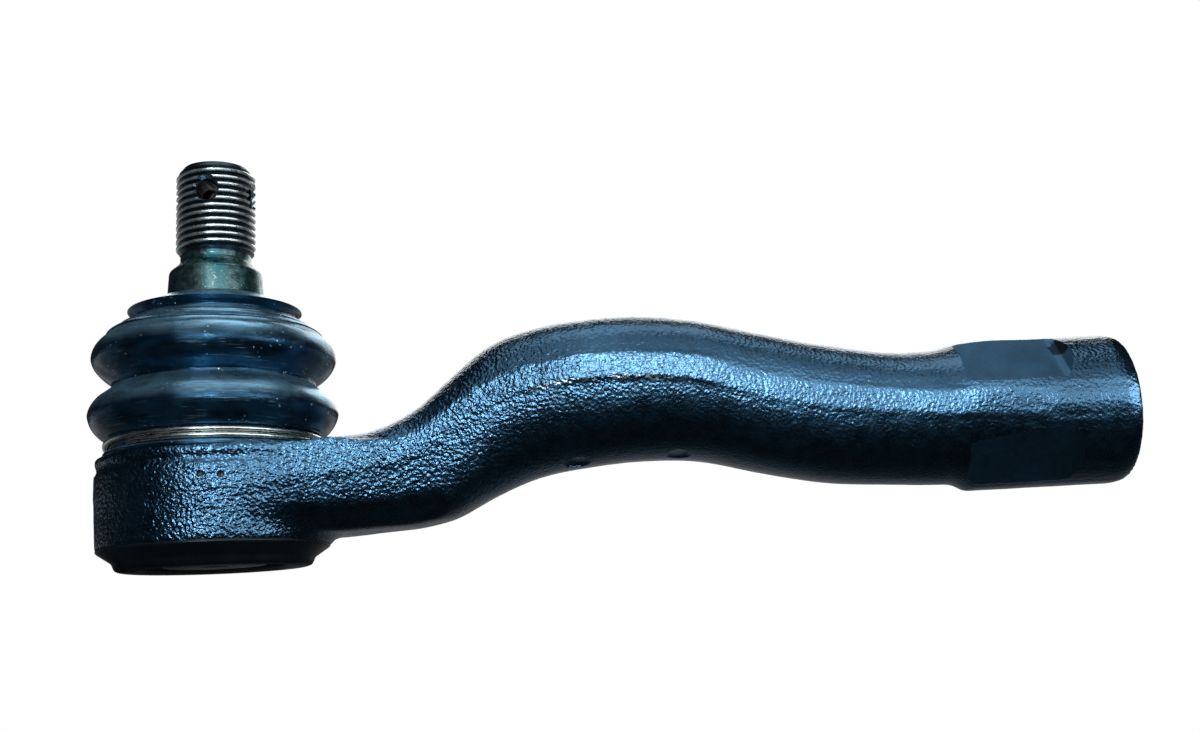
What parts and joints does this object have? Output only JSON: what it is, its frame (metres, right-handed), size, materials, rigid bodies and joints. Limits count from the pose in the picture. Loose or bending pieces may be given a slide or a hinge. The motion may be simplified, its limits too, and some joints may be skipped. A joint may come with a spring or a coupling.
{
  "type": "tie rod end",
  "caption": "Outer tie rod end: forged S-shaped arm with a booted ball stud in its barrel and a female threaded socket with wrench flats.",
  "frame": {"origin": "centre of the ball, where the stud's swing axes cross", "axes": "+Z along the stud and out of the barrel, +X along the arm from the ball to the socket"},
  "size_m": [0.2075, 0.049, 0.083],
  "materials": {
    "body_paint": "black electro-coat over a rough forged skin, semi-gloss with a blue cast",
    "plate_paint": "smooth black electro-coat on pressed and turned steel",
    "stud_steel": "dark phosphate coating with a teal and bronze sheen",
    "seat_resin": "natural acetal, matte",
    "spring_steel": "plain hardened spring steel",
    "seal_rubber": "matte black nitrile",
    "boot_rubber": "moulded chloroprene, satin, finely scratched and dusty",
    "ring_steel": "bright spring wire, slightly greenish white zinc"
  },
  "bodies": {
    "housing": {"forged_body": "body_paint", "stud_side_seat": "seat_resin", "cap_side_seat": "seat_resin", "disc_spring": "spring_steel", "cover_seal_ring": "seal_rubber", "cover_plate": "plate_paint", "boot_lower_fold": "boot_rubber", "boot_clamp_ring": "ring_steel"},
    "boot_waist": {"boot_upper_fold": "boot_rubber"},
    "boot_head": {"boot_lip": "boot_rubber", "lip_insert_ring": "spring_steel"},
    "stud": {"ball_stud": "stud_steel"}
  },
  "joints": [
    {"name": "stud_swing", "type": "hinge", "parent": "housing", "child": "boot_waist", "pos_m": [0, 0, 0], "axis": [0, 1, 0], "range_deg": [-18, 18], "deforming": ["boot_lower_fold"]},
    {"name": "stud_rock", "type": "hinge", "parent": "boot_waist", "child": "boot_head", "pos_m": [0, 0, 0], "axis": [1, 0, 0], "range_deg": [-18, 18], "deforming": ["boot_upper_fold"]},
    {"name": "stud_spin", "type": "hinge", "parent": "boot_head", "child": "stud", "pos_m": [0, 0, 0], "axis": [0, 0, 1], "continuous": true}
  ]
}
